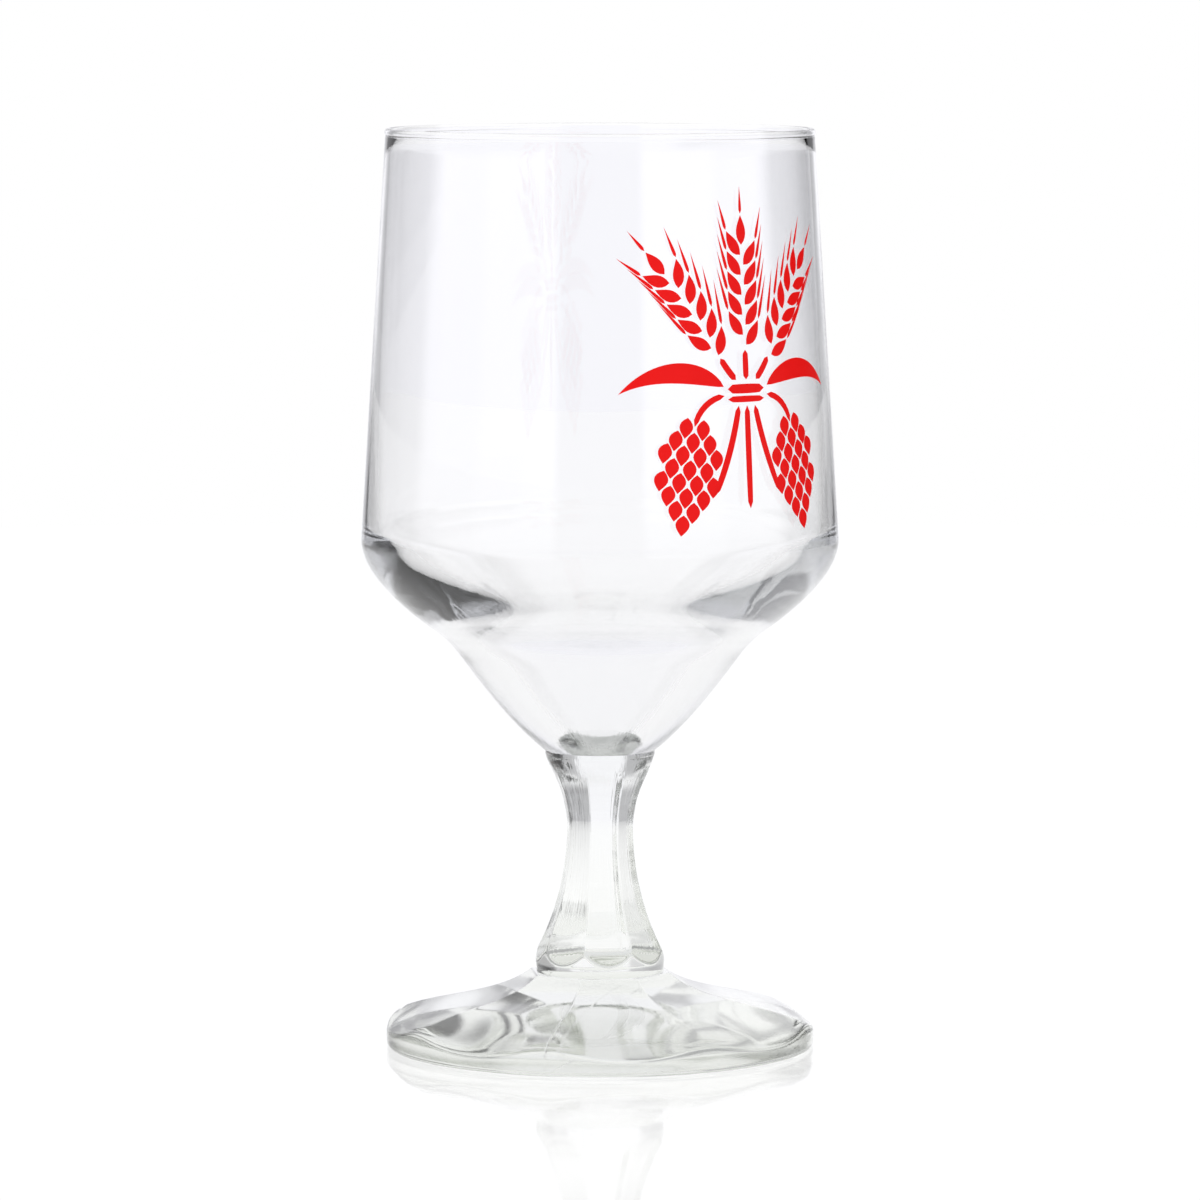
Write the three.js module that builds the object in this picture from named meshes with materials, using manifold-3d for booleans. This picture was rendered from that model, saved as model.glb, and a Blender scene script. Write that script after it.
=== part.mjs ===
// A stemmed beer glass of clear glass: a thin bowl with a thick shoulder, an eight-fluted stem and an
// eight-panelled foot. They are made one by one and fused hot, so each stands on the flat top of the next.
// Millimetres, +Z up. The origin is the middle of the standing ring, on the table.

import * as THREE from "three";
import { mergeVertices } from "three/addons/utils/BufferGeometryUtils.js";
import Module from "manifold-3d";

// Flutes of the stem and panels of the foot lie above each other, one of them square to +X.
const SIDES = 8;
const ROUND_STEPS = 56;
const CURVE_STEPS = 6;
const WELD_DISTANCE = 0.0001;

// Foot
const FOOT_RADIUS = 34.3;
const FOOT_HEIGHT = 12;
const FOOT_EDGE_HEIGHT = 4.6; // top of the rounded edge, where two panels meet
const FOOT_EDGE_ROUND = 0.9; // rounding of the lower edge
const FOOT_EDGE_CROWN = 1.4; // rounding of the upper edge
const FOOT_LEDGE = 0.25; // flat left round the stem
const PANEL_EDGE_HEIGHT = 2.65; // where the middle of a panel runs out on the edge
const PANEL_END_SLOPE = THREE.MathUtils.degToRad(41); // of a panel at the stem and at the edge
const PANEL_END_REACH = 8; // how far a panel keeps to that slope
const RING_WIDTH = 5; // flat ring that stands on the table
const HOLLOW_DEPTH = 0.6; // of the underside

// Stem
const STEM_LENGTH = 35.6;
const STEM_RING_RADIUS = 10.35;
const STEM_RING_HEIGHT = 1.5;
const STEM_RING_TAPER = 0.15; // how much the ring narrows to the foot
const COLLAR_RADIUS = 8.75; // also of the bowl's underside
const COLLAR_HEIGHT = 0.6;
const WAIST_RADIUS = 5.1; // from the axis to the middle of a flute
const WAIST_HEIGHT = 22.9; // above the foot
const UPPER_FLUTE_RADIUS = 20; // curve of a flute from the waist to the collar
const LOWER_FLUTE_RADIUS = 44; // curve of a flute from the waist to the ring
const FLUTE_SPRING = 4; // from the bowl down to where two flutes meet in a ridge

// Bowl
const BOWL_HEIGHT = 99.4;
const RIM_RADIUS = 34.25; // outside of the lip
const LIP_RADIUS = 0.8; // half the thickness of the fire-polished lip
const LIP_TURN = THREE.MathUtils.degToRad(45); // how far the lip rolls under on each side
const LIP_NECK = 1.3; // from the middle of the lip down to the plain wall
const RIM_WALL = 1;
const WALL_EVEN_LENGTH = 34; // how far below the lip the wall stays thin
const SHOULDER_RADIUS = 38.1; // at the foot of the plain wall
const SHOULDER_HEIGHT = 34.3;
const SHOULDER_REACH = 6.5; // how far below that the shoulder keeps to the line of the wall
const HEEL_SLOPE = THREE.MathUtils.degToRad(37); // of the underside of the shoulder at the crease
const HEEL_REACH = 3; // how far it keeps to that slope
const CREASE_RADIUS = 23.9; // hollow line where the shoulder meets the cone below it
const CREASE_HEIGHT = 17.5;
const CREASE_BLEND = 0.9; // from that line to the ends of its rounding
const CONE_TOP_SLOPE = THREE.MathUtils.degToRad(54); // of the cone at the crease
const CONE_TOP_REACH = 10; // how far it keeps to that slope
const CONE_BASE_SLOPE = THREE.MathUtils.degToRad(38); // of the cone at the stem
const CONE_BASE_REACH = 4.8; // how far it keeps to that slope
const SHOULDER_WALL = 2.5; // thickness at the foot of the inner wall
const INNER_WALL_FOOT = 36; // height where the inner wall turns into the bottom
const INNER_WALL_REACH = 12; // how far above that the inner wall stays upright
const INNER_CORNER_REACH = 6; // and how far below
const BOTTOM_SLOPE = THREE.MathUtils.degToRad(41); // of the conical bottom inside
const BOTTOM_RADIUS = 21; // a ring that the bottom runs through at that slope
const BOTTOM_HEIGHT = 21;
const BOTTOM_UPPER_REACH = 7; // how far above that ring the bottom keeps to its slope
const BOTTOM_LOWER_REACH = 6; // and how far below
const BASE_THICKNESS = 3;
const BASE_REACH = 4.8; // how far from the axis the bottom stays level

const HALF_SIDE_ANGLE = Math.PI / SIDES;
const RIDGE_RATIO = 1 / Math.cos(HALF_SIDE_ANGLE); // ridge radius over the radius at mid side

const wasm = await Module();
wasm.setup();

// A closed lathe outline turned about +Z, round or with flat sides.
function turn(outline, steps = ROUND_STEPS, firstAngle = 0) {
  const geometry = new THREE.LatheGeometry(outline.getPoints(CURVE_STEPS), steps, firstAngle);
  return geometry.rotateX(Math.PI / 2);
}

// The same outline turned with flat sides: its radii are those of the middle of a side.
function turnSides(outline) {
  const geometry = turn(outline, SIDES, HALF_SIDE_ANGLE);
  return geometry.scale(RIDGE_RATIO, RIDGE_RATIO, 1);
}

function toSolid(geometry) {
  const bare = geometry.clone();
  bare.deleteAttribute("normal");
  bare.deleteAttribute("uv");
  const welded = mergeVertices(bare, WELD_DISTANCE);
  const mesh = new wasm.Mesh({
    numProp: 3,
    vertProperties: welded.attributes.position.array,
    triVerts: new Uint32Array(welded.index.array),
  });
  return new wasm.Manifold(mesh);
}

// What two turned shapes have in common.
function common(first, second) {
  const mesh = toSolid(first).intersect(toSolid(second)).getMesh();
  const geometry = new THREE.BufferGeometry();
  geometry.setAttribute("position", new THREE.BufferAttribute(mesh.vertProperties, mesh.numProp));
  geometry.setIndex(new THREE.BufferAttribute(mesh.triVerts, 1));
  geometry.computeVertexNormals();
  return geometry;
}

// A point moved by a distance along a direction.
function along(point, direction, distance) {
  return point.clone().addScaledVector(direction, distance);
}

// Foot: a round disc with a hollow underside, cut by eight panels that fall from the stem to the edge
// and run out on it in shallow arcs.
function footGeometry() {
  const ringOuter = FOOT_RADIUS - FOOT_EDGE_ROUND;
  const ringInner = ringOuter - RING_WIDTH;
  const crownStart = FOOT_EDGE_HEIGHT - FOOT_EDGE_CROWN;
  const crownEnd = FOOT_RADIUS - FOOT_EDGE_CROWN;
  const above = 2 * FOOT_HEIGHT;
  const disc = new THREE.Path()
    .moveTo(0, HOLLOW_DEPTH)
    .quadraticCurveTo(ringInner / 2, HOLLOW_DEPTH, ringInner, 0)
    .lineTo(ringOuter, 0)
    .quadraticCurveTo(FOOT_RADIUS, 0, FOOT_RADIUS, FOOT_EDGE_ROUND)
    .lineTo(FOOT_RADIUS, crownStart)
    .quadraticCurveTo(FOOT_RADIUS, FOOT_EDGE_HEIGHT, crownEnd, FOOT_EDGE_HEIGHT)
    .lineTo(crownEnd, above)
    .lineTo(0, above);

  const fall = new THREE.Vector2(Math.cos(PANEL_END_SLOPE), -Math.sin(PANEL_END_SLOPE));
  const top = new THREE.Vector2(STEM_RING_RADIUS + FOOT_LEDGE, FOOT_HEIGHT);
  const edge = new THREE.Vector2(FOOT_RADIUS, PANEL_EDGE_HEIGHT);
  const leavesTop = along(top, fall, PANEL_END_REACH);
  const meetsEdge = along(edge, fall, -PANEL_END_REACH);
  const beyond = along(edge, fall, PANEL_END_REACH);
  const panels = new THREE.Path()
    .moveTo(0, -FOOT_HEIGHT)
    .lineTo(beyond.x, -FOOT_HEIGHT)
    .lineTo(beyond.x, beyond.y)
    .lineTo(edge.x, edge.y)
    .bezierCurveTo(meetsEdge.x, meetsEdge.y, leavesTop.x, leavesTop.y, top.x, top.y)
    .lineTo(0, FOOT_HEIGHT);
  return common(turn(disc), turnSides(panels));
}

// Stem: a round blank with a ring below and a collar above, cut by eight hollow flutes. The collar tapers
// down to where the ridges begin, so each flute ends in an arch above and in an arc on the ring below.
function stemGeometry() {
  const springHeight = STEM_LENGTH - FLUTE_SPRING;
  const springRise = springHeight - WAIST_HEIGHT;
  const fluteDepth = UPPER_FLUTE_RADIUS - Math.sqrt(UPPER_FLUTE_RADIUS ** 2 - springRise ** 2);
  const springRadius = (WAIST_RADIUS + fluteDepth) * RIDGE_RATIO;
  const collarStart = STEM_LENGTH - COLLAR_HEIGHT;
  const taper = (COLLAR_RADIUS - springRadius) / (collarStart - springHeight);
  // The blank stops narrowing where the ridges fall as steeply as it does, so it never trims them.
  const steadyRise = UPPER_FLUTE_RADIUS * Math.sin(Math.atan(taper / RIDGE_RATIO));
  const steadyHeight = WAIST_HEIGHT + steadyRise;
  const steadyRadius = springRadius - taper * (springHeight - steadyHeight);
  const blank = new THREE.Path()
    .moveTo(0, 0)
    .lineTo(STEM_RING_RADIUS - STEM_RING_TAPER, 0)
    .lineTo(STEM_RING_RADIUS, STEM_RING_HEIGHT)
    .lineTo(STEM_RING_RADIUS, WAIST_HEIGHT)
    .lineTo(steadyRadius, WAIST_HEIGHT)
    .lineTo(steadyRadius, steadyHeight)
    .lineTo(COLLAR_RADIUS, collarStart)
    .lineTo(COLLAR_RADIUS, STEM_LENGTH)
    .lineTo(0, STEM_LENGTH);

  // The flutes curve out past the blank at both ends.
  const sweep = Math.PI / 3;
  const lowerCentre = WAIST_RADIUS + LOWER_FLUTE_RADIUS;
  const upperCentre = WAIST_RADIUS + UPPER_FLUTE_RADIUS;
  const lowerEnd = lowerCentre - LOWER_FLUTE_RADIUS * Math.cos(sweep);
  const upperEnd = upperCentre - UPPER_FLUTE_RADIUS * Math.cos(sweep);
  const flutes = new THREE.Path()
    .moveTo(0, -STEM_LENGTH)
    .lineTo(lowerEnd, -STEM_LENGTH)
    .absarc(lowerCentre, WAIST_HEIGHT, LOWER_FLUTE_RADIUS, Math.PI + sweep, Math.PI, true)
    .absarc(upperCentre, WAIST_HEIGHT, UPPER_FLUTE_RADIUS, Math.PI, Math.PI - sweep, true)
    .lineTo(upperEnd, 2 * STEM_LENGTH)
    .lineTo(0, 2 * STEM_LENGTH);
  return common(turn(blank), turnSides(flutes));
}

// Bowl: one turned shell. Outside a cone rises from the stem to a hollow crease, and above it the shoulder
// swells out and rounds into the wall, which leans in to the lip. Inside, the wall thickens to the shoulder
// and the bottom is a cone with a rounded tip.
function bowlGeometry() {
  const lip = new THREE.Vector2(RIM_RADIUS - LIP_RADIUS, BOWL_HEIGHT - LIP_RADIUS);
  const neckHeight = lip.y - LIP_NECK;
  const outerNeck = new THREE.Vector2(lip.x + RIM_WALL / 2, neckHeight);
  const innerNeck = new THREE.Vector2(lip.x - RIM_WALL / 2, neckHeight);

  const wallStart = new THREE.Vector2(SHOULDER_RADIUS, SHOULDER_HEIGHT);
  const upWall = outerNeck.clone().sub(wallStart).normalize();
  const crease = new THREE.Vector2(CREASE_RADIUS, CREASE_HEIGHT);
  const upHeel = new THREE.Vector2(Math.cos(HEEL_SLOPE), Math.sin(HEEL_SLOPE));
  const heelStart = along(crease, upHeel, CREASE_BLEND);
  const leavesHeel = along(heelStart, upHeel, HEEL_REACH);
  const meetsWall = along(wallStart, upWall, -SHOULDER_REACH);
  const upConeTop = new THREE.Vector2(Math.cos(CONE_TOP_SLOPE), Math.sin(CONE_TOP_SLOPE));
  const upConeBase = new THREE.Vector2(Math.cos(CONE_BASE_SLOPE), Math.sin(CONE_BASE_SLOPE));
  const coneTop = along(crease, upConeTop, -CREASE_BLEND);
  const meetsCrease = along(coneTop, upConeTop, -CONE_TOP_REACH);
  const coneBase = new THREE.Vector2(COLLAR_RADIUS, 0);
  const leavesBase = along(coneBase, upConeBase, CONE_BASE_REACH);

  const innerRadius = SHOULDER_RADIUS - SHOULDER_WALL;
  const wallThickens = along(innerNeck, upWall, -WALL_EVEN_LENGTH);
  const bottom = new THREE.Vector2(BOTTOM_RADIUS, BOTTOM_HEIGHT);
  const upBottom = new THREE.Vector2(Math.cos(BOTTOM_SLOPE), Math.sin(BOTTOM_SLOPE));
  const meetsBottom = along(bottom, upBottom, BOTTOM_UPPER_REACH);
  const leavesBottom = along(bottom, upBottom, -BOTTOM_LOWER_REACH);

  const outline = new THREE.Path()
    .moveTo(0, 0)
    .lineTo(coneBase.x, coneBase.y)
    .bezierCurveTo(leavesBase.x, leavesBase.y, meetsCrease.x, meetsCrease.y, coneTop.x, coneTop.y)
    .quadraticCurveTo(crease.x, crease.y, heelStart.x, heelStart.y)
    .bezierCurveTo(leavesHeel.x, leavesHeel.y, meetsWall.x, meetsWall.y, wallStart.x, wallStart.y)
    .lineTo(outerNeck.x, outerNeck.y)
    .absarc(lip.x, lip.y, LIP_RADIUS, -LIP_TURN, Math.PI + LIP_TURN, false)
    .lineTo(innerNeck.x, innerNeck.y)
    .bezierCurveTo(
      wallThickens.x,
      wallThickens.y,
      innerRadius,
      INNER_WALL_FOOT + INNER_WALL_REACH,
      innerRadius,
      INNER_WALL_FOOT,
    )
    .bezierCurveTo(
      innerRadius,
      INNER_WALL_FOOT - INNER_CORNER_REACH,
      meetsBottom.x,
      meetsBottom.y,
      bottom.x,
      bottom.y,
    )
    .bezierCurveTo(leavesBottom.x, leavesBottom.y, BASE_REACH, BASE_THICKNESS, 0, BASE_THICKNESS);
  return turn(outline);
}

function glass(colour) {
  return new THREE.MeshStandardMaterial({ color: colour, roughness: 0.04, metalness: 0 });
}

const foot = new THREE.Mesh(footGeometry(), glass("#dde4dd"));
foot.name = "foot";

const stem = new THREE.Mesh(stemGeometry(), glass("#e2e4e1"));
stem.name = "stem";
stem.position.z = FOOT_HEIGHT;

const bowl = new THREE.Mesh(bowlGeometry(), glass("#eeeef2"));
bowl.name = "bowl";
bowl.position.z = FOOT_HEIGHT + STEM_LENGTH;

const beerGlass = new THREE.Group();
beerGlass.name = "stemmed_beer_glass";
beerGlass.add(foot, stem, bowl);

export default beerGlass;
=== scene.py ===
"""A stemmed beer glass of clear glass, with a red enamel print on its bowl, on a white studio table."""

import math

import bmesh
import bpy
import numpy as np
from mathutils import Matrix, Vector
from mathutils.geometry import interpolate_bezier


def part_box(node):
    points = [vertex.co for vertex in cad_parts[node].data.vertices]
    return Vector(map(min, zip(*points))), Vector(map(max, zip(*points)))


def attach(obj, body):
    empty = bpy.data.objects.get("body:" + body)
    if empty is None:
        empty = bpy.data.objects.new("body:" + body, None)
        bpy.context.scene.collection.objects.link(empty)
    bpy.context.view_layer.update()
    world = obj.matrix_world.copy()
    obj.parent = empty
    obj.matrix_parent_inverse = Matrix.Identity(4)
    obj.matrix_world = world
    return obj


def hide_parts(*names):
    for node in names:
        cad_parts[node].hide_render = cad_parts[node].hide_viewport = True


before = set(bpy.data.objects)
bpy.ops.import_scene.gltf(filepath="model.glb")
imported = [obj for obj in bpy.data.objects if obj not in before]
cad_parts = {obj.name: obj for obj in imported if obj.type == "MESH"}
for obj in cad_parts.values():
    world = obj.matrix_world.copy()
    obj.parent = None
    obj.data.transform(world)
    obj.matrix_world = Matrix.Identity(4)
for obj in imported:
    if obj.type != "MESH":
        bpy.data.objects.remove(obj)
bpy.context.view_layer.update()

MM = 0.001
WELD = 0.0002 * MM

# Levels of the fused joints, from the frame. Each piece ends a hair below the next.
FOOT_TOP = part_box("stem")[0].z
STEM_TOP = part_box("bowl")[0].z
JOINT_GAP = 0.02 * MM

# Flutes of the stem and panels of the foot, and how finely each piece is turned
SIDES = 8
HALF_SIDE = math.pi / SIDES
STEM_STEPS = SIDES * 36
FOOT_STEPS = SIDES * 56
BOWL_STEPS = 288

# Foot
FOOT_RADIUS = 34.3 * MM
FOOT_EDGE_HEIGHT = 4.6 * MM
FOOT_EDGE_ROUND = 0.9 * MM
FOOT_EDGE_CROWN = 1.4 * MM
CROWN_RISE = 1.5  # how steeply the limit of the edge rises inside its rounding
FOOT_EDGE_SOFTNESS = 0.35 * MM
FOOT_RIDGE_ROUND = 0.06  # rounding of a ridge as a share of its distance from the axis
FOOT_BLEND = 0.35 * MM
PANEL_EDGE_HEIGHT = 2.65 * MM
PANEL_END_SLOPE = math.radians(41)
PANEL_END_REACH = 8 * MM
PANEL_TOP_RADIUS = 10.6 * MM
PANEL_SAMPLES = 400
RING_WIDTH = 5 * MM
HOLLOW_DEPTH = 0.6 * MM

# Stem
STEM_RING_RADIUS = 10.35 * MM
STEM_RING_FOOT = 10.2 * MM
STEM_RING_HEIGHT = 1.5 * MM
COLLAR_RADIUS = 8.75 * MM
COLLAR_HEIGHT = 0.6 * MM
WAIST_RADIUS = 5.1 * MM
WAIST_HEIGHT = 22.9 * MM
UPPER_FLUTE_RADIUS = 20 * MM
LOWER_FLUTE_RADIUS = 44 * MM
FLUTE_SPRING = 4 * MM
STEM_RIDGE_ROUND = 0.1
STEM_BLEND = 0.25 * MM
FINE_HEIGHT = 5 * MM  # the mesh is finer from the ring up to here
FINE_BELOW_SPRING = 1 * MM  # and again from this far below the spring of the flutes

# Bowl
BOWL_HEIGHT = 99.4 * MM
RIM_RADIUS = 34.25 * MM
LIP_RADIUS = 0.6 * MM
LIP_TURN = math.radians(45)
LIP_NECK = 0.8 * MM
RIM_WALL = 1 * MM
WALL_EVEN_LENGTH = 34 * MM
SHOULDER_RADIUS = 38.1 * MM
SHOULDER_HEIGHT = 34.3 * MM
SHOULDER_REACH = 6.5 * MM
HEEL_SLOPE = math.radians(37)
HEEL_REACH = 3 * MM
CREASE_RADIUS = 23.9 * MM
CREASE_HEIGHT = 17.5 * MM
CREASE_BLEND = 2.5 * MM
CONE_TOP_SLOPE = math.radians(54)
CONE_TOP_REACH = 10 * MM
CONE_BASE_SLOPE = math.radians(38)
CONE_BASE_REACH = 4.8 * MM
SHOULDER_WALL = 2.5 * MM
INNER_WALL_FOOT = 36 * MM
INNER_WALL_REACH = 12 * MM
INNER_CORNER_REACH = 6 * MM
BOTTOM_SLOPE = math.radians(41)
BOTTOM_RADIUS = 21 * MM
BOTTOM_HEIGHT = 21 * MM
BOTTOM_UPPER_REACH = 7 * MM
BOTTOM_LOWER_REACH = 6 * MM
BASE_THICKNESS = 1.7 * MM
BASE_REACH = 6.3 * MM

# Print, laid on the wall of the bowl
PRINT_ANGLE = math.radians(-59.5)
PRINT_HEIGHT = 63.4 * MM  # of its middle, above the underside of the bowl
ENAMEL_HEIGHT = 0.03 * MM
ENAMEL_DEPTH = 0.02 * MM  # how far it is fired into the glass

# Motifs of the print, in millimetres
STRAIGHT = 0.0001
DRAWING_WELD = 0.0002
EAR_PAIRS = 5
EAR_LENGTH = 15.5
GRAIN_LENGTH = 4.6
GRAIN_WIDTH = 1.9
GRAIN_LEAN = math.radians(46)
GRAIN_CURL = math.radians(22)
GRAIN_OFFSET = 0.3
AWN_LENGTH = 7
AWN_WIDTH = 0.55
AWN_LEAN = math.radians(16)
AWN_GAP = 0.25
LEAF_LENGTH = 18.5
LEAF_WIDTH = 3.2
LEAF_ARCH = math.radians(70)
HOP_ROWS = (2, 3, 4, 3, 4, 3, 2, 1)
HOP_ROW_STEP = 2.15
HOP_SPACING = 2.7
HOP_BRACT_LENGTH = 3.3
HOP_BRACT_WIDTH = 2.25
HOP_FAN = math.radians(3)  # how much a bract leans out for each millimetre from the middle
STALK_WIDTH = 1.1
VINE_WIDTH = 1.0
GRAIN_BELLY = 0.42
AWN_BELLY = 0.2
AWN_SHORTENING = 0.35  # from the bottom of an ear to its top
TOP_AWN_SHARE = 0.6
LEAF_BELLY = 0.4
VINE_FULLNESS = 0.15
TIE_FULLNESS = 0.12

# Where the motifs stand in the drawing: those in the middle and on its right, which the left ones mirror
EAR_ROOT = (0, 3.2)
SIDE_EAR_ROOT = (5.4, 1.6)
SIDE_EAR_LEAN = math.radians(26)
SIDE_EAR_BEND = math.radians(16)
NECK_ROOT = (0, -2.2)
NECK_LENGTH = 4.6
SIDE_NECK_ROOT = (2.0, -2.2)
SIDE_NECK_LENGTH = 4.4
SIDE_NECK_LEAN = math.radians(46)
STALK_ROOT = (0, -6.2)
STALK_LENGTH = 16
SIDE_STALK_ROOT = (1.6, -6.2)
SIDE_STALK_LENGTH = 14.5
SIDE_STALK_LEAN = math.radians(12)
STALK_BEND = math.radians(14)
STALK_FULLNESS = 0.1
HOP_ROOT = (9.3, -8.0)
HOP_LEAN = math.radians(9)
VINE_ROOT = (4.2, -4.6)
VINE_LENGTH = 7.6
VINE_LEAN = math.radians(85)
VINE_BEND = math.radians(72)
LEAF_ROOT = (4.3, -3.2)
LEAF_LEAN = math.radians(58)
TIE_TURNS = ((-3.6, 1.5), (-5.2, 1.0))  # height and width of each
TIE_HALF_LENGTH = 3.6

# Finishes
GLASS_IOR = 1.52
BOWL_TINT = (0.985, 0.985, 0.99)
PRESSED_TINT = (0.98, 0.985, 0.98)
BOWL_ABSORPTION = ((0.2, 0.22, 0.24, 1), 9)  # colour let through, and how dense it is in a metre
PRESSED_ABSORPTION = ((0.29, 0.34, 0.2, 1), 4)
SEAM_ANGLE = math.radians(-112.5)
SEAM_HALF_WIDTH = 0.25 * MM
SEAM_HEIGHT = 0.05 * MM
UNDERSIDE_ROUGHNESS = 0.08
UNDERSIDE_EDGE = 0.3 * MM
ENAMEL_ROUGHNESS = (0.3, 0.42)
ENAMEL_SPECULAR = 0.12
ENAMEL_DEEP = (0.82, 0.003, 0.003, 1)
ENAMEL_BRIGHT = (0.88, 0.005, 0.004, 1)

# Relief of the finishes. A larger scale is finer. The run of a streak says how fine it is round and up.
BOWL_WAVE_SCALE = 55
BOWL_WAVE_HEIGHT = 0.020 * MM
BOWL_STREAK_SCALE = 2.0
BOWL_STREAK_HEIGHT = 0.030 * MM
BOWL_STREAK_RUN = (9, 30)
DRAWN_FROM = 4 * MM  # above the underside of the bowl, the streaks fade out between these two
DRAWN_TO = 22 * MM
DRAWN_LEAST = 0.08
PRESSED_WAVE_SCALE = 130
PRESSED_WAVE_HEIGHT = 0.006 * MM
STEM_STREAK_SCALE = 2.6
STEM_STREAK_HEIGHT = 0.07 * MM
STEM_STREAK_RUN = (7, 25)
STREAKS_FROM = -1 * MM  # above the joint of stem and foot, the streaks of the stem fade in between these two
STREAKS_TO = 8 * MM
SCUFF_SCALE = 900
SCUFF_LIFT = 0.5  # brings the middle of the scuffs to one
ENAMEL_CLOUD_SCALE = 260
ENAMEL_GRAIN_SCALE = 4200
ENAMEL_GRAIN_RANGE = (0.3, 0.7)
ENAMEL_GRAIN_HEIGHT = 0.004 * MM
ENAMEL_GRAIN_STRENGTH = 0.6

# Studio: a white sheet under the glass, and how bright the light round it is, by degrees from the camera
TABLE_RADIUS = 1000 * MM
TABLE_GLOW = 1.04
TABLE_ROUGHNESS = 0.04
TABLE_IOR = 1.22
BACKDROP = 1.015
GAP = 0.5
FAR_LEFT = 0.45
FAR_RIGHT = 0.0
LEFT_SIDE = 1.3
RIGHT_SIDE = 1.2
SOFT_BOX = 1.5
CAMERA_SIDE = 0.8
LIGHT_RING = (
    (-180, BACKDROP),
    (-162, BACKDROP),
    (-159, GAP),
    (-149, GAP),
    (-145, FAR_LEFT),
    (-104, FAR_LEFT),
    (-96, LEFT_SIDE),
    (-66, LEFT_SIDE),
    (-60, SOFT_BOX),
    (-24, SOFT_BOX),
    (-20, CAMERA_SIDE),
    (20, CAMERA_SIDE),
    (24, SOFT_BOX),
    (60, SOFT_BOX),
    (66, RIGHT_SIDE),
    (96, RIGHT_SIDE),
    (104, FAR_RIGHT),
    (145, FAR_RIGHT),
    (149, GAP),
    (159, GAP),
    (162, BACKDROP),
    (180, BACKDROP),
)
LIGHT_TINT = (0.98, 0.98, 1.015)
UPPER_LEFT = 1.2  # the sides above the soft boxes
UPPER_RIGHT = 0.03
UPPER_FROM = (0.55, 0.75)  # how far aside they begin, as the sine of the angle from the line of sight
SIDE_BLEND = 0.1
BOX_TOP = math.radians(8)
BOX_EDGE = math.radians(4)
CEILING = (1.0, 1.0, 1.02)
CEILING_START = math.radians(20)
CEILING_FULL = math.radians(38)
GLASS_BOUNCES = 32
GLOSS_BOUNCES = 16

# Camera of the photograph
CAMERA_AZIMUTH = math.radians(-8)
CAMERA_DISTANCE = 1102.5 * MM
CAMERA_HEIGHT = 176.4 * MM
CAMERA_AIM = 71.7 * MM
SENSOR = 36.0
LENS = 207.8


class Outline:
    """A lathe outline in the XZ plane, where x is the radius."""

    def __init__(self, radius, height):
        self.points = [Vector((radius, 0, height))]

    def line(self, end, steps=1):
        start = self.points[-1]
        self.points += [start.lerp(end, i / steps) for i in range(1, steps + 1)]

    def curve(self, first_handle, second_handle, end, steps):
        self.points += interpolate_bezier(self.points[-1], first_handle, second_handle, end, steps + 1)[1:]

    def bend(self, corner, end, steps):
        start = self.points[-1]
        self.curve(start.lerp(corner, 2 / 3), end.lerp(corner, 2 / 3), end, steps)

    def arc(self, centre, radius, first_angle, last_angle, steps):
        for i in range(steps + 1):
            angle = first_angle + (last_angle - first_angle) * i / steps
            self.points.append(centre + at(math.cos(angle), math.sin(angle)) * radius)


def at(radius, height):
    return Vector((radius, 0, height))


def turned(points, steps):
    """The outline turned about the axis of the glass, with its poles closed and its faces pointing out.
    One side is spun, and then copied round."""
    bm = bmesh.new()
    verts = [bm.verts.new(p) for p in points]
    edges = [bm.edges.new(pair) for pair in zip(verts, verts[1:])]
    turn = math.tau / SIDES
    bmesh.ops.spin(
        bm, geom=verts + edges, cent=(0, 0, 0), axis=(0, 0, 1), angle=turn, steps=steps // SIDES
    )
    side = bm.verts[:] + bm.edges[:] + bm.faces[:]
    for i in range(1, SIDES):
        copy = bmesh.ops.duplicate(bm, geom=side)["geom"]
        copied = [e for e in copy if isinstance(e, bmesh.types.BMVert)]
        bmesh.ops.rotate(bm, verts=copied, cent=(0, 0, 0), matrix=Matrix.Rotation(turn * i, 3, "Z"))
    bmesh.ops.remove_doubles(bm, verts=bm.verts, dist=WELD)
    bmesh.ops.recalc_face_normals(bm, faces=bm.faces)
    return bm


def octagon(angle, ridge_round):
    """How much further the rounded eight-sided outline lies from the axis than in the middle of a side."""
    from_middle = abs((angle + HALF_SIDE) % (2 * HALF_SIDE) - HALF_SIDE)
    if math.tan(from_middle) < (1 - ridge_round) * math.tan(HALF_SIDE):
        return 1 / math.cos(from_middle)
    ridge_centre = (1 - ridge_round) / math.cos(HALF_SIDE)
    off_ridge = HALF_SIDE - from_middle
    across = ridge_centre * math.sin(off_ridge)
    return ridge_centre * math.cos(off_ridge) + math.sqrt(ridge_round**2 - across**2)


def soft_min(a, b, blend):
    """The lesser of two lengths, with the crease between them rounded."""
    near = max(blend - abs(a - b), 0) / blend
    return min(a, b) - near * near * blend / 4


def mark_joint(bm, height, radius):
    """Smooths the piece, and gives its fused face at that height the second material and a sharp edge."""
    for face in bm.faces:
        face.smooth = True
        if all(abs(v.co.z - height) < JOINT_GAP / 4 and v.co.xy.length < radius + WELD for v in face.verts):
            face.material_index = 1
    for edge in bm.edges:
        if len({face.material_index for face in edge.link_faces}) > 1:
            edge.smooth = False


def mesh_object(name, bm, materials):
    mesh = bpy.data.meshes.new(name)
    bm.to_mesh(mesh)
    bm.free()
    for material in materials:
        mesh.materials.append(material)
    made = bpy.data.objects.new(name, mesh)
    bpy.context.scene.collection.objects.link(made)
    return made


def piece(name, bm, materials, node=None):
    """A piece of the glass, which stands in for that node of the frame if one is named."""
    made = mesh_object(name, bm, materials)
    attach(made, "root")
    if node:
        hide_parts(node)


# Foot

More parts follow.
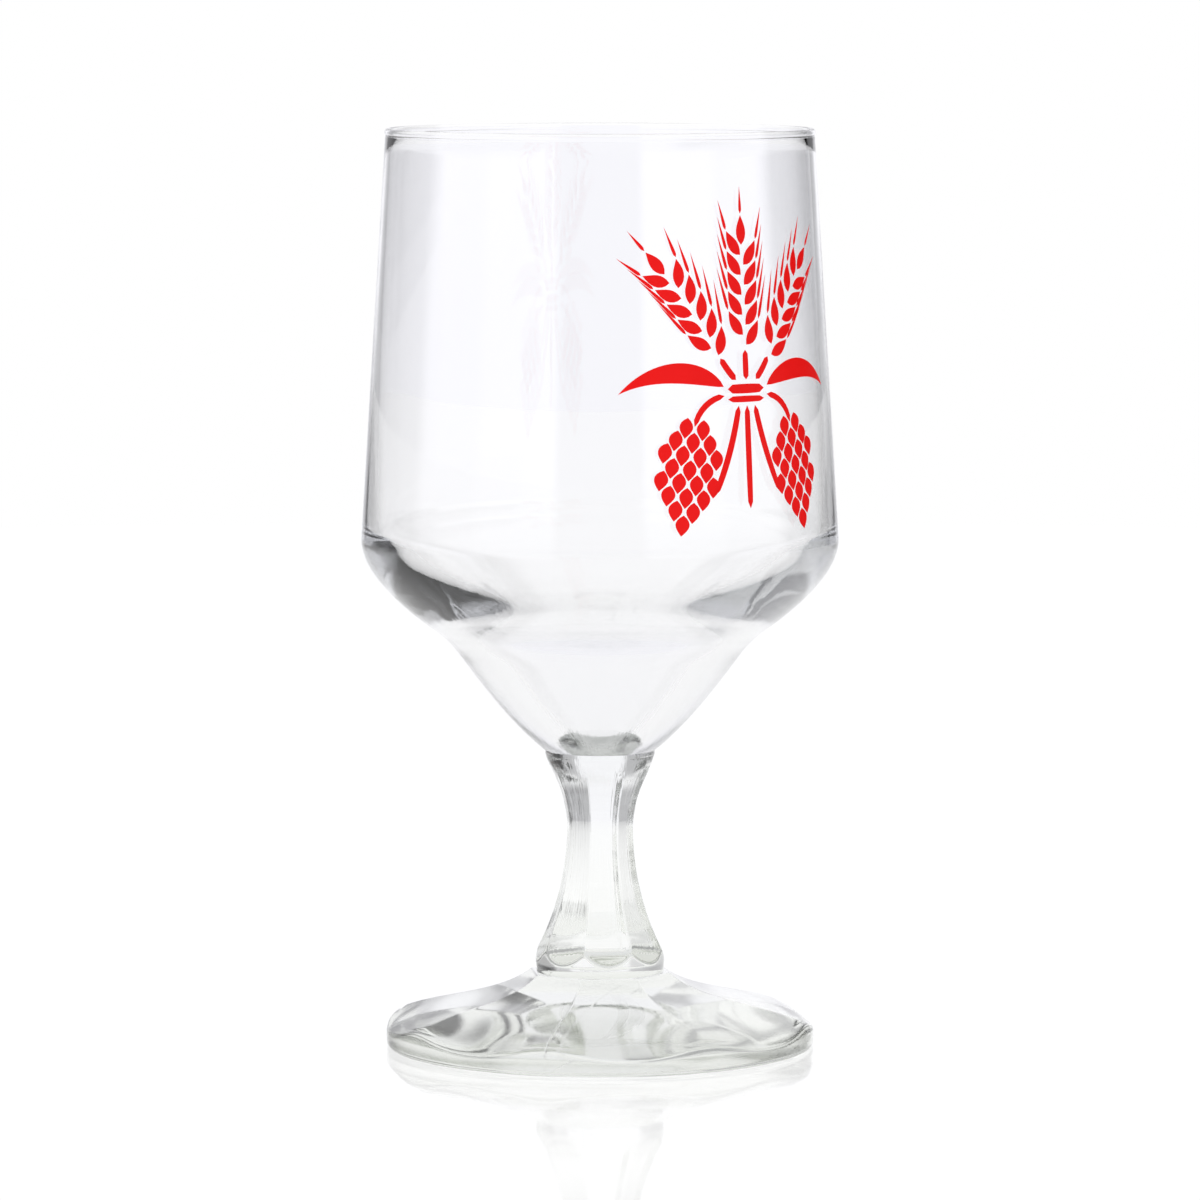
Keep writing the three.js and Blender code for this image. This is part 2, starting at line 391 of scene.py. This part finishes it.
def foot_mesh():
    """A turned disc whose top is pressed down to eight panels that run out on its edge in shallow arcs."""
    top = FOOT_TOP - JOINT_GAP
    ring_outer = FOOT_RADIUS - FOOT_EDGE_ROUND
    ring_inner = ring_outer - RING_WIDTH
    fall = at(math.cos(PANEL_END_SLOPE), -math.sin(PANEL_END_SLOPE))
    panel_edge = at(FOOT_RADIUS, PANEL_EDGE_HEIGHT)
    panel_top = at(PANEL_TOP_RADIUS, top)
    panel = interpolate_bezier(
        panel_top,
        panel_top + fall * PANEL_END_REACH,
        panel_edge - fall * PANEL_END_REACH,
        panel_edge,
        PANEL_SAMPLES,
    )
    panel_radii = [p.x for p in panel]
    panel_heights = [p.z for p in panel]

    outline = Outline(0, HOLLOW_DEPTH)
    outline.bend(at(ring_inner / 2, HOLLOW_DEPTH), at(ring_inner, 0), steps=24)
    outline.line(at(ring_outer, 0), steps=4)
    outline.bend(at(FOOT_RADIUS, 0), at(FOOT_RADIUS, FOOT_EDGE_ROUND), steps=8)
    wall_start = len(outline.points)
    outline.line(at(FOOT_RADIUS, FOOT_EDGE_HEIGHT), steps=8)
    outline.line(at(FOOT_RADIUS - 2 * FOOT_EDGE_CROWN, FOOT_EDGE_HEIGHT), steps=18)
    outline.line(at(STEM_RING_FOOT, FOOT_EDGE_HEIGHT), steps=84)
    outline.line(at(0, FOOT_EDGE_HEIGHT), steps=4)
    first_height = outline.points[wall_start].z
    bm = turned(outline.points, FOOT_STEPS)

    def crown(radius):
        over = (radius - FOOT_RADIUS) / FOOT_EDGE_CROWN + 1
        drop = 1 - math.sqrt(max(1 - over * over, 0)) if over > 0 else CROWN_RISE * over
        return FOOT_EDGE_HEIGHT - FOOT_EDGE_CROWN * drop

    def edge_drop(radius):
        over = max(radius - (FOOT_RADIUS - FOOT_EDGE_SOFTNESS), 0) / FOOT_EDGE_SOFTNESS
        return FOOT_EDGE_SOFTNESS * (1 - math.sqrt(max(1 - over * over, 0)))

    def pressed(radius, angle):
        across = radius / octagon(angle, FOOT_RIDGE_ROUND)
        panel_height = float(np.interp(across, panel_radii, panel_heights))
        return soft_min(panel_height, crown(radius), FOOT_BLEND) - edge_drop(radius)

    for v in bm.verts:
        radius = min(v.co.xy.length, FOOT_RADIUS)
        in_hollow = radius < ring_outer and v.co.z < FOOT_EDGE_HEIGHT - WELD
        if in_hollow or v.co.z < first_height - WELD:
            continue
        if radius < WELD:
            v.co.z = top
            continue
        angle = math.atan2(v.co.y, v.co.x)
        height = pressed(radius, angle)
        share = (v.co.z - FOOT_EDGE_ROUND) / (FOOT_EDGE_HEIGHT - FOOT_EDGE_ROUND)
        v.co.z = FOOT_EDGE_ROUND + share * (height - FOOT_EDGE_ROUND)
    mark_joint(bm, top, STEM_RING_FOOT)
    return bm


# Stem

def stem_mesh():
    """A turned blank with a ring below and a collar above, pressed in by eight hollow flutes."""
    length = STEM_TOP - FOOT_TOP
    top = length - JOINT_GAP
    spring = length - FLUTE_SPRING

    def flute(height):
        curve = UPPER_FLUTE_RADIUS if height > WAIST_HEIGHT else LOWER_FLUTE_RADIUS
        rise = height - WAIST_HEIGHT
        return WAIST_RADIUS + curve - math.sqrt(curve**2 - rise**2)

    collar_start = length - COLLAR_HEIGHT
    spring_radius = flute(spring) / math.cos(HALF_SIDE)
    taper = (COLLAR_RADIUS - spring_radius) / (collar_start - spring)

    def blank(height):
        if height < WAIST_HEIGHT:
            return STEM_RING_RADIUS
        ridge = flute(height) / math.cos(HALF_SIDE)
        collar = COLLAR_RADIUS - taper * max(collar_start - height, 0)
        return collar if height > spring else max(collar, ridge)

    outline = Outline(0, 0)
    outline.line(at(STEM_RING_FOOT, 0), steps=6)
    outline.line(at(STEM_RING_RADIUS, STEM_RING_HEIGHT), steps=6)
    outline.line(at(STEM_RING_RADIUS, FINE_HEIGHT), steps=28)
    outline.line(at(STEM_RING_RADIUS, spring - FINE_BELOW_SPRING), steps=90)
    outline.line(at(STEM_RING_RADIUS, collar_start), steps=40)
    outline.line(at(STEM_RING_RADIUS, top), steps=4)
    outline.line(at(0, top), steps=6)
    bm = turned(outline.points, STEM_STEPS)
    for v in bm.verts:
        radius = v.co.xy.length
        if radius < WELD:
            continue
        height = v.co.z
        limit = blank(height)
        if WELD < height < top - WELD or radius > STEM_RING_FOOT:
            angle = math.atan2(v.co.y, v.co.x)
            pressed = flute(height) * octagon(angle, STEM_RIDGE_ROUND)
            limit = soft_min(min(limit, radius), pressed, STEM_BLEND)
            v.co.xy *= limit / radius
        elif height > top - WELD:
            v.co.xy *= COLLAR_RADIUS / STEM_RING_RADIUS
    for v in bm.verts:
        v.co.z += FOOT_TOP
    mark_joint(bm, FOOT_TOP, STEM_RING_FOOT)
    mark_joint(bm, FOOT_TOP + top, COLLAR_RADIUS)
    return bm


# Bowl

def bowl_lines():
    """The middle of the lip, the two ends of the plain outer wall and the wall's direction."""
    lip = at(RIM_RADIUS - LIP_RADIUS, BOWL_HEIGHT - LIP_RADIUS)
    outer_neck = lip + at(RIM_WALL / 2, -LIP_NECK)
    wall_start = at(SHOULDER_RADIUS, SHOULDER_HEIGHT)
    up_wall = (outer_neck - wall_start).normalized()
    return lip, outer_neck, wall_start, up_wall


def wall_radius(height, outer_neck, up_wall):
    """Radius of the outer wall at that height above the underside of the bowl."""
    return outer_neck.x + (height - outer_neck.z) * up_wall.x / up_wall.z


def bowl_mesh():
    """One turned shell: a cone, a crease, a swelling shoulder and a wall that leans in to the lip."""
    lip, outer_neck, wall_start, up_wall = bowl_lines()
    crease = at(CREASE_RADIUS, CREASE_HEIGHT)
    up_heel = at(math.cos(HEEL_SLOPE), math.sin(HEEL_SLOPE))
    heel_start = crease + up_heel * CREASE_BLEND
    up_cone_top = at(math.cos(CONE_TOP_SLOPE), math.sin(CONE_TOP_SLOPE))
    up_cone_base = at(math.cos(CONE_BASE_SLOPE), math.sin(CONE_BASE_SLOPE))
    cone_top = crease - up_cone_top * CREASE_BLEND
    cone_base = at(COLLAR_RADIUS, 0)
    inner_neck = lip + at(-RIM_WALL / 2, -LIP_NECK)
    inner_wall_foot = at(SHOULDER_RADIUS - SHOULDER_WALL, INNER_WALL_FOOT)
    bottom = at(BOTTOM_RADIUS, BOTTOM_HEIGHT)
    up_bottom = at(math.cos(BOTTOM_SLOPE), math.sin(BOTTOM_SLOPE))

    outline = Outline(0, 0)
    outline.line(cone_base, steps=6)
    outline.curve(
        cone_base + up_cone_base * CONE_BASE_REACH,
        cone_top - up_cone_top * CONE_TOP_REACH,
        cone_top,
        steps=30,
    )
    outline.bend(crease, heel_start, steps=10)
    outline.curve(
        heel_start + up_heel * HEEL_REACH,
        wall_start - up_wall * SHOULDER_REACH,
        wall_start,
        steps=40,
    )
    outline.line(outer_neck, steps=24)
    outline.arc(lip, LIP_RADIUS, -LIP_TURN, math.pi + LIP_TURN, steps=24)
    outline.line(inner_neck)
    outline.curve(
        inner_neck - up_wall * WALL_EVEN_LENGTH,
        inner_wall_foot + at(0, INNER_WALL_REACH),
        inner_wall_foot,
        steps=36,
    )
    outline.curve(
        inner_wall_foot - at(0, INNER_CORNER_REACH),
        bottom + up_bottom * BOTTOM_UPPER_REACH,
        bottom,
        steps=40,
    )
    outline.curve(
        bottom - up_bottom * BOTTOM_LOWER_REACH,
        at(BASE_REACH, BASE_THICKNESS),
        at(0, BASE_THICKNESS),
        steps=36,
    )
    for p in outline.points:
        p.z += STEM_TOP
    bm = turned(outline.points, BOWL_STEPS)
    mark_joint(bm, STEM_TOP, COLLAR_RADIUS)
    return bm


# Print: a spray of barley, hops and leaves, drawn flat in millimetres and then laid on the wall of the bowl

def polar(angle, length=1.0):
    return Vector((math.cos(angle), math.sin(angle))) * length


def along_arc(root, heading, bend, length, share):
    """A point on an arc that leaves root at heading and turns by bend, and the heading there."""
    angle = heading + bend * share
    if abs(bend) < STRAIGHT:
        return root + polar(heading, length * share), angle
    radius = length / bend
    return root + polar(angle - math.pi / 2, radius) - polar(heading - math.pi / 2, radius), angle


def blade(bm, root, heading, length, width, bend=0.0, belly=0.45, fullness=1.0, rows=8, columns=2):
    """A flat shape along an arc, widest at belly, with pointed ends, or blunt ones if fullness is small."""
    skew = math.log(0.5) / math.log(belly)
    for v in bmesh.ops.create_grid(bm, x_segments=columns, y_segments=rows, size=1)["verts"]:
        share = (v.co.y + 1) / 2
        half_width = width / 2 * max(math.sin(math.pi * share**skew), 0) ** fullness
        centre, angle = along_arc(root, heading, bend, length, share)
        v.co.xy = centre + polar(angle + math.pi / 2, v.co.x * half_width)


def barley_ear(bm, root, heading, bend):
    """Two rows of grains along an arc, each with its awn."""
    for i in range(2 * EAR_PAIRS):
        side = 1 if i % 2 else -1
        point, direction = along_arc(root, heading, bend, EAR_LENGTH, i / (2 * EAR_PAIRS))
        lean = direction + side * GRAIN_LEAN
        start = point + polar(direction + side * math.pi / 2, GRAIN_OFFSET)
        blade(bm, start, lean, GRAIN_LENGTH, GRAIN_WIDTH, bend=-side * GRAIN_CURL, belly=GRAIN_BELLY)
        tip, _ = along_arc(start, lean, -side * GRAIN_CURL, GRAIN_LENGTH + AWN_GAP, 1)
        awn = AWN_LENGTH * (1 - AWN_SHORTENING * i / (2 * EAR_PAIRS))
        blade(bm, tip, direction + side * AWN_LEAN, awn, AWN_WIDTH, belly=AWN_BELLY, rows=12, columns=1)
    point, direction = along_arc(root, heading, bend, EAR_LENGTH, 1)
    blade(bm, point, direction, GRAIN_LENGTH, GRAIN_WIDTH, belly=GRAIN_BELLY)
    tip = point + polar(direction, GRAIN_LENGTH + AWN_GAP)
    blade(bm, tip, direction, AWN_LENGTH * TOP_AWN_SHARE, AWN_WIDTH, belly=AWN_BELLY)


def hop_cone(bm, root, heading):
    """Rows of bracts like roof tiles, hanging from root."""
    for row, count in enumerate(HOP_ROWS):
        for i in range(count):
            across = (i - (count - 1) / 2) * HOP_SPACING
            start = root + polar(heading, row * HOP_ROW_STEP) + polar(heading + math.pi / 2, across)
            lean = heading + across * HOP_FAN
            blade(bm, start, lean, HOP_BRACT_LENGTH, HOP_BRACT_WIDTH, bend=-across * HOP_FAN, columns=4)


def mirrored(point, side):
    return Vector((side * point[0], point[1]))


def drawn_spray(bm):
    """Three ears, two hop cones and two leaves on stalks that are tied in the middle."""
    up = math.pi / 2
    down = -math.pi / 2
    barley_ear(bm, Vector(EAR_ROOT), up, 0)
    blade(bm, Vector(NECK_ROOT), up, NECK_LENGTH, STALK_WIDTH, fullness=STALK_FULLNESS)
    blade(bm, Vector(STALK_ROOT), down, STALK_LENGTH, STALK_WIDTH, fullness=STALK_FULLNESS, rows=16)
    for side in (-1, 1):
        barley_ear(bm, mirrored(SIDE_EAR_ROOT, side), up - side * SIDE_EAR_LEAN, -side * SIDE_EAR_BEND)
        neck_lean = up - side * SIDE_NECK_LEAN
        blade(bm, mirrored(SIDE_NECK_ROOT, side), neck_lean, SIDE_NECK_LENGTH, STALK_WIDTH,
              bend=side * STALK_BEND, fullness=STALK_FULLNESS)
        stalk_lean = down + side * SIDE_STALK_LEAN
        blade(bm, mirrored(SIDE_STALK_ROOT, side), stalk_lean, SIDE_STALK_LENGTH, STALK_WIDTH,
              bend=side * STALK_BEND, fullness=STALK_FULLNESS, rows=16)
        hop_cone(bm, mirrored(HOP_ROOT, side), down + side * HOP_LEAN)
        blade(bm, mirrored(VINE_ROOT, side), down + side * VINE_LEAN, VINE_LENGTH, VINE_WIDTH,
              bend=-side * VINE_BEND, fullness=VINE_FULLNESS)
        blade(bm, mirrored(LEAF_ROOT, side), up - side * LEAF_LEAN, LEAF_LENGTH, LEAF_WIDTH,
              bend=-side * LEAF_ARCH, belly=LEAF_BELLY, rows=20)
    for height, width in TIE_TURNS:
        start = Vector((-TIE_HALF_LENGTH, height))
        blade(bm, start, 0, 2 * TIE_HALF_LENGTH, width, fullness=TIE_FULLNESS)


def spray_mesh():
    """The drawing given its thickness and laid on the wall of the bowl."""
    bm = bmesh.new()
    drawn_spray(bm)
    bmesh.ops.remove_doubles(bm, verts=bm.verts, dist=DRAWING_WELD)
    bmesh.ops.scale(bm, verts=bm.verts, vec=(MM, MM, MM))
    raised = bmesh.ops.extrude_face_region(bm, geom=bm.faces[:])["geom"]
    raised = [e for e in raised if isinstance(e, bmesh.types.BMVert)]
    bmesh.ops.translate(bm, verts=bm.verts, vec=(0, 0, -ENAMEL_DEPTH))
    bmesh.ops.translate(bm, verts=raised, vec=(0, 0, ENAMEL_DEPTH + ENAMEL_HEIGHT))
    bmesh.ops.recalc_face_normals(bm, faces=bm.faces)
    _, outer_neck, _, up_wall = bowl_lines()
    out = Vector((up_wall.z, -up_wall.x))
    middle = wall_radius(PRINT_HEIGHT, outer_neck, up_wall)
    for v in bm.verts:
        height = PRINT_HEIGHT + v.co.y * up_wall.z
        proud = v.co.z
        radius = wall_radius(height, outer_neck, up_wall) + proud * out.x
        angle = PRINT_ANGLE + v.co.x / middle
        v.co = (radius * math.cos(angle), radius * math.sin(angle), STEM_TOP + height + proud * out.y)
    return bm


# Finishes

def new_material(name):
    material = bpy.data.materials.new(name)
    material.use_nodes = True
    material.node_tree.nodes.clear()
    return material, material.node_tree


def add(tree, kind, **values):
    """A new node with its properties and inputs set by name. A socket given as a value is linked."""
    node = tree.nodes.new(kind)
    for name, value in values.items():
        socket = node.inputs.get(name.replace("_", " "))
        if socket is None:
            setattr(node, name, value)
        else:
            feed(tree, socket, value)
    return node


def feed(tree, socket, value):
    if isinstance(value, bpy.types.NodeSocket):
        tree.links.new(value, socket)
    else:
        socket.default_value = value


def calculate(tree, operation, *values):
    """The result of a Math node."""
    node = add(tree, "ShaderNodeMath", operation=operation)
    for socket, value in zip(node.inputs, values):
        feed(tree, socket, value)
    return node.outputs[0]


def vector(tree, operation, *values):
    """The result of a Vector Math node."""
    node = add(tree, "ShaderNodeVectorMath", operation=operation)
    for socket, value in zip(node.inputs, values):
        feed(tree, socket, value)
    return node.outputs["Value" if operation == "DOT_PRODUCT" else "Vector"]


def graded(tree, value, low, high, from_low, from_high):
    """A value mapped smoothly from one range to another."""
    node = add(tree, "ShaderNodeMapRange", interpolation_type="SMOOTHSTEP", Value=value)
    node.inputs["From Min"].default_value = from_low
    node.inputs["From Max"].default_value = from_high
    node.inputs["To Min"].default_value = low
    node.inputs["To Max"].default_value = high
    return node.outputs["Result"]


def show(tree, shader, absorption=None):
    output = add(tree, "ShaderNodeOutputMaterial")
    tree.links.new(shader, output.inputs["Surface"])
    if absorption:
        colour, density = absorption
        body = add(tree, "ShaderNodeVolumeAbsorption", Color=colour, Density=density)
        tree.links.new(body.outputs[0], output.inputs["Volume"])


def noise(tree, place, scale, detail=2.0):
    return add(tree, "ShaderNodeTexNoise", Vector=place, Scale=scale, Detail=detail).outputs["Fac"]


def round_axis(tree, place, turns, rise):
    """Coordinates that run round the axis of the glass, so that a noise on them makes upright streaks."""
    outward = vector(tree, "NORMALIZE", vector(tree, "MULTIPLY", place, (1, 1, 0)))
    upward = vector(tree, "MULTIPLY", place, (0, 0, rise))
    return vector(tree, "MULTIPLY_ADD", outward, (turns, turns, 0), upward)


def glass_shader(tree, tint, height, roughness, absorption):
    bump = add(tree, "ShaderNodeBump", Strength=1.0, Distance=1.0, Height=height)
    shader = add(
        tree,
        "ShaderNodeBsdfPrincipled",
        Base_Color=(*tint, 1),
        Roughness=roughness,
        IOR=GLASS_IOR,
        Transmission_Weight=1.0,
        Normal=bump.outputs["Normal"],
    )
    show(tree, shader.outputs["BSDF"], absorption)


def blown_glass():
    """Clear glass of the bowl: faint waves all over, and upright streaks where the cone was drawn down."""
    material, tree = new_material("blown_glass")
    place = add(tree, "ShaderNodeTexCoord").outputs["Object"]
    height_up = add(tree, "ShaderNodeSeparateXYZ", Vector=place).outputs["Z"]
    waves = noise(tree, place, BOWL_WAVE_SCALE)
    streaks = noise(tree, round_axis(tree, place, *BOWL_STREAK_RUN), BOWL_STREAK_SCALE, detail=4.0)
    drawn = graded(tree, height_up, 1.0, DRAWN_LEAST, STEM_TOP + DRAWN_FROM, STEM_TOP + DRAWN_TO)
    streaks = calculate(tree, "MULTIPLY", streaks, drawn)
    relief = calculate(tree, "MULTIPLY", waves, BOWL_WAVE_HEIGHT)
    relief = calculate(tree, "MULTIPLY_ADD", streaks, BOWL_STREAK_HEIGHT, relief)
    glass_shader(tree, BOWL_TINT, relief, 0.0, BOWL_ABSORPTION)
    return material


def pressed_glass():
    """Clear glass of the stem and foot: chill waves, streaks, two mould seams, and wear on the underside."""
    material, tree = new_material("pressed_glass")
    place = add(tree, "ShaderNodeTexCoord").outputs["Object"]
    height_up = add(tree, "ShaderNodeSeparateXYZ", Vector=place).outputs["Z"]
    waves = noise(tree, place, PRESSED_WAVE_SCALE)
    streaks = noise(tree, round_axis(tree, place, *STEM_STREAK_RUN), STEM_STREAK_SCALE, detail=1.5)
    on_stem = graded(tree, height_up, 0.0, 1.0, FOOT_TOP + STREAKS_FROM, FOOT_TOP + STREAKS_TO)
    streaks = calculate(tree, "MULTIPLY", streaks, on_stem)
    across = (-math.sin(SEAM_ANGLE), math.cos(SEAM_ANGLE), 0)
    off_seam = calculate(tree, "ABSOLUTE", vector(tree, "DOT_PRODUCT", place, across))
    seam = graded(tree, off_seam, 1.0, 0.0, 0.0, SEAM_HALF_WIDTH)
    relief = calculate(tree, "MULTIPLY", waves, PRESSED_WAVE_HEIGHT)
    relief = calculate(tree, "MULTIPLY_ADD", seam, SEAM_HEIGHT, relief)
    relief = calculate(tree, "MULTIPLY_ADD", streaks, STEM_STREAK_HEIGHT, relief)
    scuffs = noise(tree, place, SCUFF_SCALE, detail=4.0)
    under = graded(tree, height_up, UNDERSIDE_ROUGHNESS, 0.0, HOLLOW_DEPTH, HOLLOW_DEPTH + UNDERSIDE_EDGE)
    worn = calculate(tree, "MULTIPLY", calculate(tree, "ADD", scuffs, SCUFF_LIFT), under)
    glass_shader(tree, PRESSED_TINT, relief, worn, PRESSED_ABSORPTION)
    return material


def fused_joint(name, absorption):
    """Inside a fused joint there is no surface to see."""
    material, tree = new_material(name)
    show(tree, add(tree, "ShaderNodeBsdfTransparent").outputs["BSDF"], absorption)
    return material


def red_enamel():
    """Fired enamel: a red of soft gloss, with the faint grain of the screen that it was printed through."""
    material, tree = new_material("red_enamel")
    place = add(tree, "ShaderNodeTexCoord").outputs["Object"]
    cloud = noise(tree, place, ENAMEL_CLOUD_SCALE)
    grain = noise(tree, place, ENAMEL_GRAIN_SCALE, detail=1.0)
    colour = add(tree, "ShaderNodeMix", data_type="RGBA", A=ENAMEL_DEEP, B=ENAMEL_BRIGHT, Factor=cloud)
    relief = calculate(tree, "MULTIPLY", grain, ENAMEL_GRAIN_HEIGHT)
    bump = add(tree, "ShaderNodeBump", Strength=ENAMEL_GRAIN_STRENGTH, Distance=1.0, Height=relief)
    shader = add(
        tree,
        "ShaderNodeBsdfPrincipled",
        Base_Color=colour.outputs["Result"],
        Roughness=graded(tree, grain, *ENAMEL_ROUGHNESS, *ENAMEL_GRAIN_RANGE),
        Specular_IOR_Level=ENAMEL_SPECULAR,
        Normal=bump.outputs["Normal"],
    )
    show(tree, shader.outputs["BSDF"])
    return material


# Studio

def white_acrylic():
    """A white sheet with a soft gloss, lit from below."""
    material, tree = new_material("white_acrylic")
    glow = add(tree, "ShaderNodeEmission", Color=(1, 1, 1, 1), Strength=TABLE_GLOW)
    gloss = add(tree, "ShaderNodeBsdfGlossy", Color=(1, 1, 1, 1), Roughness=TABLE_ROUGHNESS)
    fresnel = add(tree, "ShaderNodeFresnel", IOR=TABLE_IOR)
    mix = add(tree, "ShaderNodeMixShader")
    tree.links.new(fresnel.outputs[0], mix.inputs[0])
    tree.links.new(glow.outputs[0], mix.inputs[1])
    tree.links.new(gloss.outputs[0], mix.inputs[2])
    show(tree, mix.outputs[0])
    return material


def white_table():
    bm = bmesh.new()
    bmesh.ops.create_circle(bm, cap_ends=True, segments=64, radius=TABLE_RADIUS)
    bmesh.ops.translate(bm, verts=bm.verts, vec=(0, 0, -JOINT_GAP))
    table = mesh_object("white_table", bm, [white_acrylic()])


def studio_light():
    """A backdrop, a soft box on each side, dimmer gaps between them and a pale ceiling. The camera sees plain
    white behind the glass."""
    world = bpy.data.worlds.new("studio")
    world.use_nodes = True
    bpy.context.scene.world = world
    tree = world.node_tree
    tree.nodes.clear()
    direction = add(tree, "ShaderNodeTexCoord").outputs["Generated"]
    to_camera = add(tree, "ShaderNodeMapping", vector_type="POINT", Vector=direction)
    to_camera.inputs["Rotation"].default_value = (0, 0, math.pi / 2 - CAMERA_AZIMUTH)
    round_glass = add(tree, "ShaderNodeTexGradient", gradient_type="RADIAL", Vector=to_camera.outputs[0])
    ring = add(tree, "ShaderNodeValToRGB", Fac=round_glass.outputs["Fac"])
    stops = ring.color_ramp.elements
    for i, (from_camera, level) in enumerate(LIGHT_RING):
        stop = stops[i] if i < len(stops) else stops.new(1.0)
        stop.position = 0.5 + from_camera / 360
        stop.color = (*(level * share for share in LIGHT_TINT), 1)
    up = add(tree, "ShaderNodeSeparateXYZ", Vector=direction).outputs["Z"]
    overhead = graded(tree, up, 0.0, 1.0, math.sin(CEILING_START), math.sin(CEILING_FULL))
    light = add(tree, "ShaderNodeMix", data_type="RGBA", Factor=overhead, B=(*CEILING, 1))
    right = (math.cos(CAMERA_AZIMUTH), math.sin(CAMERA_AZIMUTH), 0)
    sideways = vector(tree, "DOT_PRODUCT", direction, right)
    aside = graded(tree, calculate(tree, "ABSOLUTE", sideways), 0.0, 1.0, *UPPER_FROM)
    level = graded(tree, sideways, UPPER_LEFT, UPPER_RIGHT, -SIDE_BLEND, SIDE_BLEND)
    above = graded(tree, up, 0.0, 1.0, math.sin(BOX_TOP), math.sin(BOX_TOP + BOX_EDGE))
    upper = add(tree, "ShaderNodeMix", data_type="RGBA", B=level)
    feed(tree, upper.inputs["Factor"], calculate(tree, "MULTIPLY", aside, above))
    tree.links.new(ring.outputs["Color"], upper.inputs["A"])
    tree.links.new(upper.outputs["Result"], light.inputs["A"])
    sight = add(tree, "ShaderNodeLightPath").outputs["Is Camera Ray"]
    seen = add(tree, "ShaderNodeMix", data_type="RGBA", Factor=sight, B=(1, 1, 1, 1))
    tree.links.new(light.outputs["Result"], seen.inputs["A"])
    background = add(tree, "ShaderNodeBackground")
    tree.links.new(seen.outputs["Result"], background.inputs["Color"])
    output = add(tree, "ShaderNodeOutputWorld")
    tree.links.new(background.outputs[0], output.inputs["Surface"])


def photo_camera():
    data = bpy.data.cameras.new("camera")
    data.sensor_width = SENSOR
    data.lens = LENS
    camera = bpy.data.objects.new("camera", data)
    bpy.context.scene.collection.objects.link(camera)
    camera.location = (
        CAMERA_DISTANCE * math.sin(CAMERA_AZIMUTH),
        -CAMERA_DISTANCE * math.cos(CAMERA_AZIMUTH),
        CAMERA_HEIGHT,
    )
    look = Vector((0, 0, CAMERA_AIM)) - camera.location
    camera.rotation_euler = look.to_track_quat("-Z", "Y").to_euler()
    bpy.context.scene.camera = camera


bowl_joint = fused_joint("bowl_joint", BOWL_ABSORPTION)
pressed_joint = fused_joint("fused_joint", PRESSED_ABSORPTION)
pressed = pressed_glass()
piece("clear_bowl", bowl_mesh(), [blown_glass(), bowl_joint], "bowl")
piece("fluted_stem", stem_mesh(), [pressed, pressed_joint], "stem")
piece("panelled_foot", foot_mesh(), [pressed, pressed_joint], "foot")
piece("enamel_print", spray_mesh(), [red_enamel()])

white_table()
studio_light()
photo_camera()
scene = bpy.context.scene
scene.view_settings.view_transform = "Standard"
scene.cycles.max_bounces = GLASS_BOUNCES
scene.cycles.transmission_bounces = GLASS_BOUNCES
scene.cycles.glossy_bounces = GLOSS_BOUNCES
